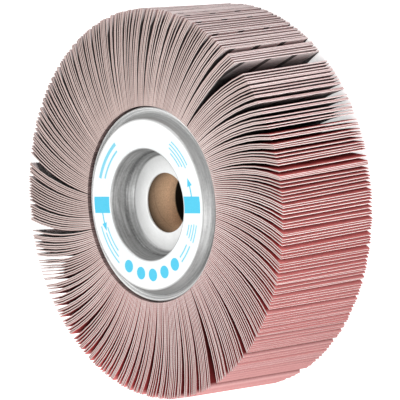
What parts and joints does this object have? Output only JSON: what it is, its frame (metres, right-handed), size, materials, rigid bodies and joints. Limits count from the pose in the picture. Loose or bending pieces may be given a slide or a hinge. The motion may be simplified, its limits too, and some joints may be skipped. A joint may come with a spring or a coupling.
{
  "type": "flap wheel",
  "caption": "Abrasive flap wheel: cloth flaps fanned around a resin hub between two pressed steel flanges, with a plain central bore.",
  "frame": {"origin": "centre of the flat of the rear flange, on the wheel's axis, where the wheel lies", "axes": "+Z along the wheel's axis towards the label side; +X and +Y in the wheel's plane"},
  "size_m": [0.165, 0.165, 0.0542],
  "materials": {
    "flange_steel": "pale galvanised sheet, satin",
    "label_paper": "smooth printed paper",
    "tube_card": "matte",
    "core_resin": "matte cast resin",
    "abrasive_cloth": "coated cloth with a matte grain"
  },
  "bodies": {
    "root": {"front_flange": "flange_steel", "rear_flange": "flange_steel", "label_ring": "label_paper", "core_tube": "tube_card", "resin_core": "core_resin", "flap_pack_01": "abrasive_cloth", "flap_pack_02": "abrasive_cloth", "flap_pack_03": "abrasive_cloth", "flap_pack_04": "abrasive_cloth", "flap_pack_05": "abrasive_cloth", "flap_pack_06": "abrasive_cloth", "flap_pack_07": "abrasive_cloth", "flap_pack_08": "abrasive_cloth", "flap_pack_09": "abrasive_cloth", "flap_pack_10": "abrasive_cloth", "flap_pack_11": "abrasive_cloth", "flap_pack_12": "abrasive_cloth", "flap_pack_13": "abrasive_cloth", "flap_pack_14": "abrasive_cloth", "flap_pack_15": "abrasive_cloth", "flap_pack_16": "abrasive_cloth", "flap_pack_17": "abrasive_cloth", "flap_pack_18": "abrasive_cloth", "flap_pack_19": "abrasive_cloth", "flap_pack_20": "abrasive_cloth", "flap_pack_21": "abrasive_cloth", "flap_pack_22": "abrasive_cloth", "flap_pack_23": "abrasive_cloth", "flap_pack_24": "abrasive_cloth", "flap_pack_25": "abrasive_cloth", "flap_pack_26": "abrasive_cloth", "flap_pack_27": "abrasive_cloth", "flap_pack_28": "abrasive_cloth", "flap_pack_29": "abrasive_cloth", "flap_pack_30": "abrasive_cloth", "flap_pack_31": "abrasive_cloth", "flap_pack_32": "abrasive_cloth", "flap_pack_33": "abrasive_cloth", "flap_pack_34": "abrasive_cloth", "flap_pack_35": "abrasive_cloth", "flap_pack_36": "abrasive_cloth"}
  },
  "joints": []
}
